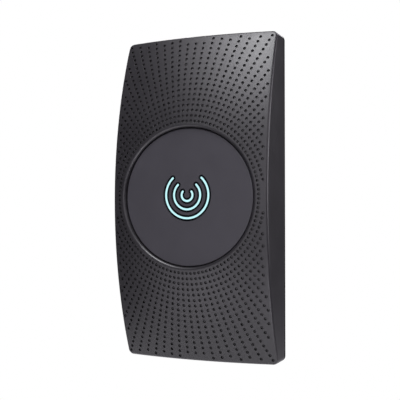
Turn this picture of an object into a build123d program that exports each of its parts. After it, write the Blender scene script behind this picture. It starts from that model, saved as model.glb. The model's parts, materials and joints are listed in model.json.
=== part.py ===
from build123d import *
import os
from math import cos, radians, sin, sqrt

# Wall-mounted proximity card reader, in millimetres.
# X is to the right, +Y goes into the wall, +Z is up, and the front faces -Y.
# The origin is the centre of the wall face. A "depth" is a distance in front of the wall: y = -depth.

# Outline and domed front
WIDTH = 58.0
HEIGHT = 115.0
CORNER = 2.0
DOME_RADIUS = 151.5
DOME_DEPTH = 22.1
DOME_CENTRE_Y = DOME_RADIUS - DOME_DEPTH
EDGE_ROUND = 1.0
WALL = 1.8
INNER_CORNER = 0.5

# Sunk reading disc and its seat
DISC_RADIUS = 23.85
DISC_DEPTH = 18.95
DISC_THICK = 1.5
DISC_BACK = DISC_DEPTH - DISC_THICK
DISC_ROUND = 0.35
DISC_GAP = 0.3
SEAT_RADIUS = DISC_RADIUS + DISC_GAP
RIM_ROUND = 0.9
SHELF_WIDTH = 2.3
SHELF_THICK = 1.6

# Light strips: centre, then radius and half the opening angle of each strip
ICON_X = -0.4
ICON_Z = 0.7
STRIPS = {2.05: 53.0, 4.95: 44.0, 8.0: 42.5}
STRIP_WIDTH = 0.68
SLOT_WIDTH = 2.1
STRIP_RECESS = 0.1

# Light guide, film and shield behind the disc
GUIDE_RADIUS = 12.0
GUIDE_THICK = 1.2
GUIDE_BACK = DISC_BACK - GUIDE_THICK
FILM_THICK = 0.2
FILM_RADIUS = GUIDE_RADIUS - 0.2
SHIELD_FRONT = GUIDE_BACK - FILM_THICK
SHIELD_WALL = 1.0
SPOKE_LENGTH = 8.0
SPOKE_REACH = 7.0
SPOKE_WIDTH = 0.8
SPOKE_GAP = 1.2

# Stack from the wall forward
GASKET_THICK = 0.9
GASKET_TOP_THICK = 0.3
RIM_DEPTH = 1.0
PLATE_FRONT = 2.4
BACK_REAR = 4.8
BACK_FRONT = 6.4
LEDGE_DEPTH = 7.1
LEDGE_THICK = 1.3
LEDGE_WIDTH = 2.4
BOARD_REAR = 9.8
BOARD_FRONT = 11.0

# Hanging hinge at the top edge
HINGE_DEPTH = 3.0
HINGE_Z = 55.0
HORN_RADIUS = 1.0
HORN_WEB = 1.2
HOOK_X = 16.0
HOOK_WIDTH = 9.0
SADDLE_RADIUS = HORN_RADIUS + 0.06
SADDLE_HALF_WIDTH = HOOK_WIDTH / 2 + 0.3
SADDLE_BLOCK = HOOK_WIDTH / 2 + 1.2
SADDLE_MOUTH = 4.0

# Sealed space inside the reader
CAVITY_X = WIDTH / 2 - WALL
CAVITY_TOP = 52.6
CAVITY_BOTTOM = -47.0
BULKHEAD = 1.4
FIT_GAP = 0.2
BACK_CORNER = 1.5
SEAL_GAP = 0.5
SEAL_WIDTH = 1.5

# Wall plate: outline, raised land on the wall side, pockets between its ribs
PLATE_HALF_WIDTH = 26.8
PLATE_TOP = 53.5
PLATE_BOTTOM = -55.2
PLATE_CORNER = 2.0
LAND_HALF_WIDTH = 23.8
LAND_TOP = 50.5
LAND_BOTTOM = -52.2
LAND_CORNER = 1.5
POCKET_DEPTH = 1.2
POCKET_CORNER = 0.8
POCKET_X = 17.2
POCKET_HALF_WIDTH = 5.0
POCKET_ROWS = 6
POCKET_PITCH = 16.6
POCKET_HALF_HEIGHT = 7.5
CENTRE_POCKET_Z = 19.0
CENTRE_POCKET_HALF_HEIGHT = 7.0
CENTRE_POCKET_HALF_WIDTH = 9.5

# Openings in the wall plate
WINDOW_X = 9.5
WINDOW_LOW = -21.0
WINDOW_HIGH = 9.0
WINDOW_CORNER = 2.5
SLOT_SPACING = 83.3
SLOT_LENGTH = 7.0
SCREW_HOLE_RADIUS = 2.0
ROUND_SPACING = 60.0

# Lock screw in the plate's bottom tab
LOCK_DEPTH = 5.0
LOCK_RADIUS = 1.45
LOCK_LOW = -54.7
LOCK_LENGTH = 5.5
LOCK_CHAMFER = 0.3
LOCK_HOLE_RADIUS = LOCK_RADIUS + 0.3
SOCKET_RADIUS = 0.85
SOCKET_DEPTH = 1.6
INSERT_RADIUS = 2.1
INSERT_BORE = LOCK_RADIUS + 0.05
TAB_LOW = -54.8
TAB_HIGH = -50.4
TAB_FRONT = 7.6
TAB_HALF_WIDTH = 5.0
TAB_ROUND = 1.0

# Fasteners inside: places, then shaft and head
COVER_SCREW_X = 22.3
COVER_SCREW_TOP = 47.5
COVER_SCREW_BOTTOM = -42.5
COVER_SCREW_RADIUS = 1.05
COVER_HEAD_RADIUS = 2.2
COVER_HEAD_HEIGHT = 1.5
COVER_BOSS_RADIUS = 2.8
COVER_BOSS_BORE = 3.4
BOARD_SCREW_X = 16.5
BOARD_SCREW_Z = 35.5
BOARD_SCREW_RADIUS = 0.85
BOARD_HEAD_RADIUS = 1.8
BOARD_HEAD_HEIGHT = 1.3
BOARD_POST_RADIUS = 2.3
BOARD_POST_BORE = 3.2
POST_SINK = 0.9
BORE_REST = 0.4
SCREW_HOLE_GAP = 0.25
CROSS_HALF_WIDTH = 0.2
CROSS_DEPTH = 0.6

# Antenna bobbin and winding
BOBBIN_BORE = 18.5
BOBBIN_TUBE = 19.3
BOBBIN_FLANGE = 21.5
BOBBIN_REAR = 13.0
BOBBIN_FRONT = 17.0
FLANGE_THICK = 0.5
FOOT_CIRCLE = 19.0
FOOT_RADIUS = 1.2
COIL_OUTER = 21.1
COIL_GAP = 0.05

# Main board
BOARD_HALF_WIDTH = 20.0
BOARD_TOP = 47.0
BOARD_BOTTOM = -39.0
BOARD_CHAMFER = 6.0
BOARD_ROUND = 1.0

# Parts on the front of the board: centre, then half sizes
CONTROLLER = (-9.5, -29.0, 3.5, 3.5)
CONTROLLER_HEIGHT = 1.2
CONTROLLER_PITCH = 0.8
CONTROLLER_LEADS = 8
RADIO = (9.5, -29.0, 2.0, 5.0)
RADIO_HEIGHT = 1.5
RADIO_PITCH = 1.27
RADIO_LEADS = 7
CHIP_LIFT = 0.2
DIMPLE_RADIUS = 0.4
LEAD_THICK = 0.2
LEAD_RISE = 0.8
LEAD_FOOT = 0.7
LEAD_KNEE = 0.4
LEAD_SHARE = 0.4
CRYSTAL_X = -12.0
CRYSTAL_Z = 26.5
CRYSTAL_CAN = (10.5, 4.4, 3.4)
CRYSTAL_FOOT = (11.5, 5.2, 0.5)
CAPACITOR_PLACES = ((14.0, 27.5), (8.0, 31.0))
CAPACITOR_RADIUS = 2.0
CAPACITOR_HEIGHT = 4.4
CAPACITOR_BASE = 2.2
CAPACITOR_FOOT = 0.6
REGULATOR = (-1.0, 38.5, 3.2, 1.75)
REGULATOR_HEIGHT = 1.6
REGULATOR_TAB = 1.5
REGULATOR_LEGS = (-2.3, 0.0, 2.3)
REGULATOR_LEG = 0.35
REGULATOR_REACH = 3.5
PASSIVE_COLUMNS = ((-16.5, -24.0, 4), (-2.5, -24.0, 5), (2.5, -24.0, 5),
                   (16.0, -24.0, 4), (-8.0, 36.0, 3), (8.0, 38.5, 3))
PASSIVE_PITCH = 2.2
PASSIVE_HALF = (1.0, 0.6)
PASSIVE_HEIGHT = 0.5
BUZZER_Z = 28.5
BUZZER_RADIUS = 4.5
BUZZER_HEIGHT = 3.6
BUZZER_HOLE = 0.8
LED_RINGS = {7.4: 6, 2.6: 3}
LED_BASE = (2.0, 0.8, 1.25)
LED_LENS = (1.2, 0.4, 1.05)

# Wire socket on the rear of the board
HEADER_Z = -24.0
HEADER_PINS = 8
HEADER_PITCH = 2.0
HEADER_DEPTH = 3.0
HEADER_HALF_HEIGHT = 2.4
HEADER_WALL = 0.7
HEADER_FLOOR = 0.8
PIN_HALF = 0.25
PIN_REACH = 2.6

# Tamper plunger, switch and spring
TAMPER_X = 10.0
TAMPER_Z = 45.0
PLUNGER_RADIUS = 1.5
PLUNGER_TIP = PLATE_FRONT + 0.05
PLUNGER_INNER = BOARD_REAR - 1.85
PLUNGER_GAP = 0.15
COLLAR_RADIUS = 2.6
COLLAR_REAR = PLUNGER_INNER - 1.1
COLLAR_FRONT = PLUNGER_INNER - 0.4
TURRET_REAR = 3.2
TURRET_RADIUS = 3.6
TURRET_BORE = 2.8
TURRET_END = 0.8
SWITCH_HALF = 1.4
SWITCH_HEIGHT = 1.5
BUTTON_RADIUS = 0.8
BUTTON_HEIGHT = 1.8
SPRING_RADIUS = 2.3
SPRING_WIRE = 0.15
SPRING_TURNS = 2.5

# Cable entry
CABLE_Z = -6.0
CABLE_RADIUS = 2.6
GROMMET_NECK = 4.0
GROMMET_FLANGE = 5.4
GROMMET_LIP = 1.0

# Overlap that makes a cut run clear of a face
CLEAR = 1.0


def slab(x0, x1, depth0, depth1, z0, z1):
    """Block between two depths."""
    size = (x1 - x0, depth1 - depth0, z1 - z0)
    return Pos((x0 + x1) / 2, -(depth0 + depth1) / 2, (z0 + z1) / 2) * Box(*size)


def drum(radius, depth0, depth1, x=0.0, z=0.0):
    """Cylinder along Y between two depths."""
    return Pos(x, -(depth0 + depth1) / 2, z) * Rot(X=90) * Cylinder(radius, depth1 - depth0)


def ring(outer, inner, depth0, depth1, x=0.0, z=0.0):
    """Tube along Y between two depths."""
    return drum(outer, depth0, depth1, x, z) - drum(inner, depth0 - CLEAR, depth1 + CLEAR, x, z)


def plate(half_width, z0, z1, corner, depth0, depth1, x=0.0):
    """Slab with rounded corners in the XZ outline."""
    outline = RectangleRounded(2 * half_width, z1 - z0, corner)
    placed = Plane.XZ.offset(depth0) * Pos(x, (z0 + z1) / 2) * outline
    return extrude(placed, amount=depth1 - depth0)


def dome(inset=0.0):
    """Ball whose near side is the domed front, moved in by inset."""
    return Pos(0, DOME_CENTRE_Y, 0) * Sphere(DOME_RADIUS - inset)


def dome_depth(x, z):
    """Depth of the front wall's inner side at a point of the outline."""
    return sqrt((DOME_RADIUS - WALL) ** 2 - x * x - z * z) - DOME_CENTRE_Y


def cover_screw_places():
    """X and Z of the four screws that hold the back cover."""
    heights = (COVER_SCREW_BOTTOM, COVER_SCREW_TOP)
    return [(x, z) for x in (-COVER_SCREW_X, COVER_SCREW_X) for z in heights]


def board_screw_places():
    """X and Z of the four screws that hold the main board."""
    return [(x, z) for x in (-BOARD_SCREW_X, BOARD_SCREW_X) for z in (-BOARD_SCREW_Z, BOARD_SCREW_Z)]


def strip_shapes(width, depth0, depth1):
    """Three concentric C shapes, open at the top, with round ends."""
    shapes = []
    for radius, half_opening in STRIPS.items():
        line = CenterArc((0, 0), radius, 90 + half_opening, 360 - 2 * half_opening)
        sketch = Plane.XZ.offset(depth0) * Pos(ICON_X, ICON_Z) * SlotArc(line, width)
        shapes.append(extrude(sketch, amount=depth1 - depth0))
    return shapes


def group(solids):
    """Separate solids kept together in one node."""
    return Compound(children=[piece for shape in solids for piece in shape.solids()])


def is_seat_lip(edge):
    """True for the round edge where the seat for the disc meets the domed front."""
    tolerance = 0.05
    size = edge.bounding_box().size
    return abs(size.X - 2 * SEAT_RADIUS) < tolerance and edge.center().Y < -DISC_DEPTH


def cover_outside():
    """Solid outer form: rounded outline cut by the dome, rounded front edge, seat with a rounded lip."""
    form = plate(WIDTH / 2, -HEIGHT / 2, HEIGHT / 2, CORNER, RIM_DEPTH, DOME_DEPTH + CLEAR) & dome()
    front = form.faces().sort_by(Axis.Y)[0]
    form = fillet(front.outer_wire().edges(), EDGE_ROUND)
    form -= drum(SEAT_RADIUS, DISC_BACK, DOME_DEPTH + CLEAR)
    return fillet(form.edges().filter_by(is_seat_lip), RIM_ROUND)


def seat_shelf(outside):
    """Ring behind the disc's edge, merged with the domed wall."""
    shelf = ring(SEAT_RADIUS + SHELF_WIDTH, SEAT_RADIUS - SHELF_WIDTH, DISC_BACK - SHELF_THICK, DOME_DEPTH)
    return shelf & outside - drum(SEAT_RADIUS, DISC_BACK, DOME_DEPTH + CLEAR)


def top_beam():
    """Solid beam in front of the hinge, and a block over each wall plate horn."""
    high = HEIGHT / 2 - WALL / 2
    block_rear = HINGE_Z - 0.6
    beam = slab(-CAVITY_X, CAVITY_X, BACK_REAR, DOME_DEPTH, CAVITY_TOP, high)
    for x in (-HOOK_X, HOOK_X):
        beam += slab(x - SADDLE_BLOCK, x + SADDLE_BLOCK, RIM_DEPTH, BACK_REAR + CLEAR, block_rear, high)
    return beam


def saddle(x):
    """Groove over a horn, open downwards so the reader lifts off."""
    bore = Pos(x, -HINGE_DEPTH, HINGE_Z) * Rot(Y=90) * Cylinder(SADDLE_RADIUS, 2 * SADDLE_HALF_WIDTH)
    rear, front = HINGE_DEPTH - SADDLE_RADIUS, HINGE_DEPTH + SADDLE_RADIUS
    return bore + slab(x - SADDLE_HALF_WIDTH, x + SADDLE_HALF_WIDTH, rear, front,
                       HINGE_Z - SADDLE_MOUTH, HINGE_Z)


def seal_ledge():
    """Ledge that the seal and the back cover press on."""
    grow = 0.3
    front = LEDGE_DEPTH + LEDGE_THICK
    ledge = plate(CAVITY_X + grow, CAVITY_BOTTOM - grow, CAVITY_TOP + grow, BACK_CORNER, LEDGE_DEPTH, front)
    return ledge - plate(CAVITY_X - LEDGE_WIDTH, CAVITY_BOTTOM + LEDGE_WIDTH, CAVITY_TOP - LEDGE_WIDTH,
                         BACK_CORNER, LEDGE_DEPTH - CLEAR, front + CLEAR)


def front_cover():
    """Domed shell with the sunk seat for the disc, bosses, seal ledge and top hinge saddles."""
    outside = cover_outside()
    inner_height = HEIGHT / 2 - WALL
    hollow = plate(CAVITY_X, -inner_height, inner_height, INNER_CORNER, 0, DOME_DEPTH) & dome(WALL)
    inset = 0.5
    inside = outside & dome(WALL / 2)
    inside &= plate(WIDTH / 2 - inset, 2 * inset - HEIGHT / 2, HEIGHT / 2 - 2 * inset, CORNER, 0, DOME_DEPTH)
    body = outside - hollow + seat_shelf(outside)

    body += top_beam() & inside
    for x in (-HOOK_X, HOOK_X):
        body -= saddle(x)

    # bulkhead that closes the sealed space above the lock pocket
    bulkhead = slab(-CAVITY_X, CAVITY_X, BACK_REAR, DOME_DEPTH, CAVITY_BOTTOM - BULKHEAD, CAVITY_BOTTOM)
    body += bulkhead & inside
    body -= Pos(0, -LOCK_DEPTH, -HEIGHT / 2) * Cylinder(LOCK_HOLE_RADIUS, 4 * WALL)
    body += seal_ledge() & inside

    for x, z in cover_screw_places():
        body += drum(COVER_BOSS_RADIUS, LEDGE_DEPTH, dome_depth(x, z) + POST_SINK, x, z) & inside
        body -= drum(COVER_SCREW_RADIUS, 0, LEDGE_DEPTH + COVER_BOSS_BORE, x, z)
    for x, z in board_screw_places():
        body += drum(BOARD_POST_RADIUS, BOARD_FRONT, dome_depth(x, z) + POST_SINK, x, z) & inside
        body -= drum(BOARD_SCREW_RADIUS, 0, BOARD_FRONT + BOARD_POST_BORE, x, z)
    return body


def reading_disc():
    """Flat round panel with the three open strips."""
    disc = drum(DISC_RADIUS, DISC_BACK, DISC_DEPTH)
    front = disc.faces().sort_by(Axis.Y)[0]
    disc = fillet(front.edges(), DISC_ROUND)
    for shape in strip_shapes(SLOT_WIDTH, DISC_BACK - CLEAR, DISC_DEPTH + CLEAR):
        disc -= shape
    return disc


def light_guide():
    """Clear carrier whose three ribs stand in the open strips."""
    guide = drum(GUIDE_RADIUS, GUIDE_BACK, DISC_BACK)
    for shape in strip_shapes(STRIP_WIDTH, GUIDE_BACK + CLEAR, DISC_DEPTH - STRIP_RECESS):
        guide += shape
    return guide


def diffuser_film():
    """Thin milky sheet behind the light guide."""
    return drum(FILM_RADIUS, GUIDE_BACK - FILM_THICK, GUIDE_BACK)


def light_shield():
    """White tube with three spokes that keeps the light of the LEDs in."""
    tube = ring(FILM_RADIUS, FILM_RADIUS - SHIELD_WALL, BOARD_FRONT, SHIELD_FRONT)
    height = SHIELD_FRONT - BOARD_FRONT - SPOKE_GAP
    middle = (BOARD_FRONT + SHIELD_FRONT + SPOKE_GAP) / 2
    for angle in (90, 210, 330):
        spoke = Pos(SPOKE_REACH, -middle, 0) * Box(SPOKE_LENGTH, height, SPOKE_WIDTH)
        tube += Rot(Y=angle) * spoke
    return tube


def antenna_former():
    """Bobbin on four feet that carries the antenna winding."""
    former = ring(BOBBIN_TUBE, BOBBIN_BORE, BOBBIN_REAR, BOBBIN_FRONT)
    former += ring(BOBBIN_FLANGE, BOBBIN_BORE, BOBBIN_FRONT - FLANGE_THICK, BOBBIN_FRONT)
    former += ring(BOBBIN_FLANGE, BOBBIN_BORE, BOBBIN_REAR, BOBBIN_REAR + FLANGE_THICK)
    for angle in (45, 135, 225, 315):
        x, z = FOOT_CIRCLE * cos(radians(angle)), FOOT_CIRCLE * sin(radians(angle))
        former += drum(FOOT_RADIUS, BOARD_FRONT, BOBBIN_REAR + FLANGE_THICK / 2, x, z)
    return former


def antenna_coil():
    """Copper winding, as the ring that its turns fill."""
    rear = BOBBIN_REAR + FLANGE_THICK + COIL_GAP
    front = BOBBIN_FRONT - FLANGE_THICK - COIL_GAP
    return ring(COIL_OUTER, BOBBIN_TUBE + COIL_GAP, rear, front)


def main_board():
    """Circuit board with cut top corners and its fixing holes."""
    board = slab(-BOARD_HALF_WIDTH, BOARD_HALF_WIDTH, BOARD_REAR, BOARD_FRONT, BOARD_BOTTOM, BOARD_TOP)
    upright = board.edges().filter_by(Axis.Y)
    board = chamfer(upright.filter_by(lambda e: e.center().Z > 0), BOARD_CHAMFER)
    low = board.edges().filter_by(Axis.Y).filter_by(lambda e: e.center().Z < BOARD_BOTTOM + CLEAR)
    board = fillet(low, BOARD_ROUND)
    hole = BOARD_SCREW_RADIUS + 0.3
    for x, z in board_screw_places():
        board -= drum(hole, BOARD_REAR - CLEAR, BOARD_FRONT + CLEAR, x, z)
    return board


def indicator_leds():
    """Ring of six chip LEDs behind the outer strips and three behind the inner one."""
    leds = []
    base_middle = BOARD_FRONT + LED_BASE[1] / 2
    lens_middle = BOARD_FRONT + LED_BASE[1] + LED_LENS[1] / 4
    for radius, count in LED_RINGS.items():
        for n in range(count):
            led = Pos(radius, -base_middle, 0) * Box(*LED_BASE)
            led += Pos(radius, -lens_middle, 0) * Box(*LED_LENS)
            leds.append(Rot(Y=360 / count * (n + 0.5)) * led)
    return group(leds)


def bent_lead(x, z, side, across, width):
    """Lead on one side of a chip: flat foot outside, knee against the body. Across means along X."""
    parts = []
    for reach, length, height in ((0.6, LEAD_FOOT, LEAD_THICK), (0.2, LEAD_KNEE, LEAD_RISE)):
        size = (length, height, width) if across else (width, height, length)
        dx, dz = (side * reach, 0) if across else (0, side * reach)
        parts.append(Pos(x + dx, -BOARD_FRONT - height / 2, z + dz) * Box(*size))
    return parts[0] + parts[1]


def chip_leads(chip, pitch, per_side, four_sides):
    """Bent leads along two or four sides of a chip on the front of the board."""
    x, z, half_x, half_z = chip
    width = pitch * LEAD_SHARE
    leads = []
    for n in range(per_side):
        along = (n - (per_side - 1) / 2) * pitch
        for side in (-1, 1):
            leads.append(bent_lead(x + side * half_x, z + along, side, True, width))
            if four_sides:
                leads.append(bent_lead(x + along, z + side * half_z, side, False, width))
    return leads


def chip_body(chip, height):
    """Moulded chip body, standing a little off the board."""
    x, z, half_x, half_z = chip
    base = BOARD_FRONT + CHIP_LIFT
    return slab(x - half_x, x + half_x, base, base + height, z - half_z, z + half_z)


def controller_chip():
    """Square microcontroller with a pin-one dimple."""
    x, z, half_x, half_z = CONTROLLER
    top = BOARD_FRONT + CHIP_LIFT + CONTROLLER_HEIGHT
    dimple = drum(DIMPLE_RADIUS, top - 0.1, top + CLEAR, x - half_x + 1, z + half_z - 1)
    return chip_body(CONTROLLER, CONTROLLER_HEIGHT) - dimple


def radio_chip():
    """Long radio front-end chip with leads on two sides."""
    return chip_body(RADIO, RADIO_HEIGHT)


def chip_lead_set():
    """Leads of both chips."""
    leads = chip_leads(CONTROLLER, CONTROLLER_PITCH, CONTROLLER_LEADS, True)
    return group(leads + chip_leads(RADIO, RADIO_PITCH, RADIO_LEADS, False))


def crystal():
    """Oval metal crystal can on a wider foot."""
    place = Plane.XZ.offset(BOARD_FRONT) * Pos(CRYSTAL_X, CRYSTAL_Z)
    length, width, height = CRYSTAL_CAN
    can = extrude(place * SlotOverall(length, width), amount=height)
    length, width, height = CRYSTAL_FOOT
    return can + extrude(place * SlotOverall(length, width), amount=height)


def filter_capacitors():
    """Two surface-mount aluminium capacitors on square bases."""
    parts = []
    half = CAPACITOR_BASE
    foot = BOARD_FRONT + CAPACITOR_FOOT
    for x, z in CAPACITOR_PLACES:
        can = drum(CAPACITOR_RADIUS, foot, BOARD_FRONT + CAPACITOR_HEIGHT, x, z)
        rim = can.edges().filter_by(GeomType.CIRCLE).sort_by(Axis.Y)[0]
        base = slab(x - half, x + half, BOARD_FRONT, foot, z - half, z + half)
        parts.append(fillet(rim, 0.3) + base)
    return group(parts)


def voltage_regulator():
    """Regulator with a wide heat tab and three legs."""
    x, z, _, half_z = REGULATOR
    low = BOARD_FRONT
    high = BOARD_FRONT + 0.6
    edge = half_z - 0.15
    body = chip_body(REGULATOR, REGULATOR_HEIGHT)
    body += slab(x - REGULATOR_TAB, x + REGULATOR_TAB, low, high, z + edge, z + REGULATOR_REACH)
    for leg in REGULATOR_LEGS:
        x0, x1 = x + leg - REGULATOR_LEG, x + leg + REGULATOR_LEG
        body += slab(x0, x1, low, high, z - REGULATOR_REACH, z - edge)
    return body


def chip_passives():
    """Columns of small resistors and capacitors on the front of the board."""
    parts = []
    half_x, half_z = PASSIVE_HALF
    high = BOARD_FRONT + PASSIVE_HEIGHT
    for x, top, count in PASSIVE_COLUMNS:
        for n in range(count):
            z = top - PASSIVE_PITCH * n
            parts.append(slab(x - half_x, x + half_x, BOARD_FRONT, high, z - half_z, z + half_z))
    return group(parts)


def buzzer():
    """Round sounder with a sound hole."""
    front = BOARD_FRONT + BUZZER_HEIGHT
    can = drum(BUZZER_RADIUS, BOARD_FRONT, front, 0, BUZZER_Z)
    top = can.edges().filter_by(GeomType.CIRCLE).sort_by(Axis.Y)[0]
    return fillet(top, 0.4) - drum(BUZZER_HOLE, front - 1, front + CLEAR, 0, BUZZER_Z)


def wire_header():
    """Shrouded socket on the rear of the board for the installer's wires."""
    half_x = HEADER_PINS * HEADER_PITCH / 2 + 1.0
    low, high = HEADER_Z - HEADER_HALF_HEIGHT, HEADER_Z + HEADER_HALF_HEIGHT
    rear = BOARD_REAR - HEADER_DEPTH
    shell = slab(-half_x, half_x, rear, BOARD_REAR, low, high)
    wall = HEADER_WALL
    return shell - slab(-half_x + wall, half_x - wall, rear - CLEAR, BOARD_REAR - HEADER_FLOOR,
                        low + wall, high - wall)


def header_pins():
    """Square pins standing in the socket."""
    pins = []
    rear, front = BOARD_REAR - PIN_REACH, BOARD_REAR - HEADER_FLOOR
    for n in range(HEADER_PINS):
        x = (n - (HEADER_PINS - 1) / 2) * HEADER_PITCH
        pins.append(slab(x - PIN_HALF, x + PIN_HALF, rear, front, HEADER_Z - PIN_HALF, HEADER_Z + PIN_HALF))
    return group(pins)


def pan_screw(x, z, seat, head_radius, head_height, radius, tip):
    """Pan-head screw with a cross recess: its head lies behind the seat depth, its shaft in front."""
    head = drum(head_radius, seat - head_height, seat, x, z)
    rim = head.edges().filter_by(GeomType.CIRCLE).sort_by(Axis.Y)[-1]
    screw = fillet(rim, head_height / 3) + drum(radius, seat - 0.1, tip, x, z)
    reach = head_radius * 0.56
    half = CROSS_HALF_WIDTH
    rear, floor = seat - head_height - CLEAR, seat - head_height + CROSS_DEPTH
    screw -= slab(x - reach, x + reach, rear, floor, z - half, z + half)
    return screw - slab(x - half, x + half, rear, floor, z - reach, z + reach)


def board_screws():
    """Four screws through the board into the front cover's posts."""
    tip = BOARD_FRONT + BOARD_POST_BORE - BORE_REST
    return group(pan_screw(x, z, BOARD_REAR, BOARD_HEAD_RADIUS, BOARD_HEAD_HEIGHT, BOARD_SCREW_RADIUS, tip)
                 for x, z in board_screw_places())


def cover_screws():
    """Four screws through the back cover."""
    tip = LEDGE_DEPTH + COVER_BOSS_BORE - BORE_REST
    return group(pan_screw(x, z, BACK_REAR, COVER_HEAD_RADIUS, COVER_HEAD_HEIGHT, COVER_SCREW_RADIUS, tip)
                 for x, z in cover_screw_places())


def back_cover():
    """Flat cover with the cable hole, the plunger turret and screw holes."""
    front = BACK_FRONT + CLEAR
    low, high = CAVITY_BOTTOM + FIT_GAP, CAVITY_TOP - FIT_GAP
    cover = plate(CAVITY_X - FIT_GAP, low, high, BACK_CORNER, BACK_REAR, BACK_FRONT)
    cover += drum(TURRET_RADIUS, TURRET_REAR, BACK_FRONT, TAMPER_X, TAMPER_Z)
    cover -= drum(TURRET_BORE, TURRET_REAR + TURRET_END, front, TAMPER_X, TAMPER_Z)
    cover -= drum(PLUNGER_RADIUS + PLUNGER_GAP, 0, front, TAMPER_X, TAMPER_Z)
    cover -= drum(GROMMET_NECK, 0, front, 0, CABLE_Z)
    for x, z in cover_screw_places():
        cover -= drum(COVER_SCREW_RADIUS + SCREW_HOLE_GAP, 0, front, x, z)
    return cover


def cover_seal():
    """Flat rubber ring between the ledge and the back cover."""
    side = CAVITY_X - SEAL_GAP
    low, high = CAVITY_BOTTOM + SEAL_GAP, CAVITY_TOP - SEAL_GAP
    seal = plate(side, low, high, BACK_CORNER, BACK_FRONT, LEDGE_DEPTH)
    return seal - plate(side - SEAL_WIDTH, low + SEAL_WIDTH, high - SEAL_WIDTH, BACK_CORNER,
                        BACK_FRONT - CLEAR, LEDGE_DEPTH + CLEAR)


def cable_grommet():
    """Rubber grommet that grips the cable hole's edge."""
    rear, front = BACK_REAR - GROMMET_LIP, BACK_FRONT + GROMMET_LIP
    grommet = ring(GROMMET_NECK, CABLE_RADIUS, rear, front, 0, CABLE_Z)
    grommet += ring(GROMMET_FLANGE, CABLE_RADIUS, rear, BACK_REAR, 0, CABLE_Z)
    return grommet + ring(GROMMET_FLANGE, CABLE_RADIUS, BACK_FRONT, front, 0, CABLE_Z)


def tamper_switch():
    """Small push switch on the rear of the board."""
    half = SWITCH_HALF
    rear = BOARD_REAR - SWITCH_HEIGHT
    body = slab(TAMPER_X - half, TAMPER_X + half, rear, BOARD_REAR, TAMPER_Z - half, TAMPER_Z + half)
    return body + drum(BUTTON_RADIUS, BOARD_REAR - BUTTON_HEIGHT, BOARD_REAR, TAMPER_X, TAMPER_Z)


def tamper_plunger():
    """Round-nosed plunger with a collar that keeps it behind the back cover."""
    nose_centre = PLUNGER_TIP + PLUNGER_RADIUS
    nose = Pos(TAMPER_X, -nose_centre, TAMPER_Z) * Sphere(PLUNGER_RADIUS)
    shaft = drum(PLUNGER_RADIUS, nose_centre, PLUNGER_INNER, TAMPER_X, TAMPER_Z)
    return nose + shaft + drum(COLLAR_RADIUS, COLLAR_REAR, COLLAR_FRONT, TAMPER_X, TAMPER_Z)


def tamper_spring():
    """Compressed coil spring between the collar and the board."""
    ends = 3 * SPRING_WIRE
    length = BOARD_REAR - COLLAR_FRONT - ends
    line = Helix(length / SPRING_TURNS, length, SPRING_RADIUS)
    section = Plane(origin=line @ 0, z_dir=line % 0) * Circle(SPRING_WIRE)
    coil = sweep(section, path=line, is_frenet=True)
    return Pos(TAMPER_X, -BOARD_REAR + ends / 2, TAMPER_Z) * Rot(X=-90) * coil


def lock_insert():
    """Brass threaded insert in the plate's tab."""
    height = TAB_HIGH - TAB_LOW
    body = Cylinder(INSERT_RADIUS, height) - Cylinder(INSERT_BORE, height + CLEAR)
    return Pos(0, -LOCK_DEPTH, (TAB_LOW + TAB_HIGH) / 2) * body


def lock_screw():
    """Headless jack screw with a hexagon socket at its lower end."""
    screw = Cylinder(LOCK_RADIUS, LOCK_LENGTH)
    screw = chamfer(screw.edges().filter_by(GeomType.CIRCLE), LOCK_CHAMFER)
    socket = extrude(RegularPolygon(SOCKET_RADIUS, 6), amount=SOCKET_DEPTH)
    screw -= Pos(0, 0, -LOCK_LENGTH / 2) * socket
    return Pos(0, -LOCK_DEPTH, LOCK_LOW + LOCK_LENGTH / 2) * screw


def plate_openings():
    """Cable window, two long screw slots and two round screw holes."""
    front = PLATE_FRONT + CLEAR
    cut = plate(WINDOW_X, WINDOW_LOW, WINDOW_HIGH, WINDOW_CORNER, -CLEAR, front)
    for side in (-1, 1):
        outline = SlotOverall(SLOT_LENGTH, 2 * SCREW_HOLE_RADIUS, 90)
        slot = Plane.XZ.offset(-CLEAR) * Pos(0, side * SLOT_SPACING / 2) * outline
        cut += extrude(slot, amount=front + CLEAR)
        cut += drum(SCREW_HOLE_RADIUS, -CLEAR, front, 0, side * ROUND_SPACING / 2)
    return cut


def plate_pockets():
    """Shallow pockets on the wall side, which leave ribs between them."""
    cut = plate(CENTRE_POCKET_HALF_WIDTH, CENTRE_POCKET_Z - CENTRE_POCKET_HALF_HEIGHT,
                CENTRE_POCKET_Z + CENTRE_POCKET_HALF_HEIGHT, POCKET_CORNER, -CLEAR, POCKET_DEPTH)
    middle = (LAND_TOP + LAND_BOTTOM) / 2
    for n in range(POCKET_ROWS):
        z = middle + (n - (POCKET_ROWS - 1) / 2) * POCKET_PITCH
        for x in (-POCKET_X, POCKET_X):
            cut += plate(POCKET_HALF_WIDTH, z - POCKET_HALF_HEIGHT, z + POCKET_HALF_HEIGHT,
                         POCKET_CORNER, -CLEAR, POCKET_DEPTH, x)
    return cut


def horn(x):
    """Round bar on a web that the reader's top edge hangs from."""
    half = HOOK_WIDTH / 2
    foot = PLATE_TOP - 1.0
    web = HORN_WEB / 2
    arm = slab(x - half, x + half, HINGE_DEPTH - web, HINGE_DEPTH + web, foot, HINGE_Z)
    arm += slab(x - half, x + half, GASKET_THICK, HINGE_DEPTH, foot, PLATE_TOP)
    return arm + Pos(x, -HINGE_DEPTH, HINGE_Z) * Rot(Y=90) * Cylinder(HORN_RADIUS, HOOK_WIDTH)


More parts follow.
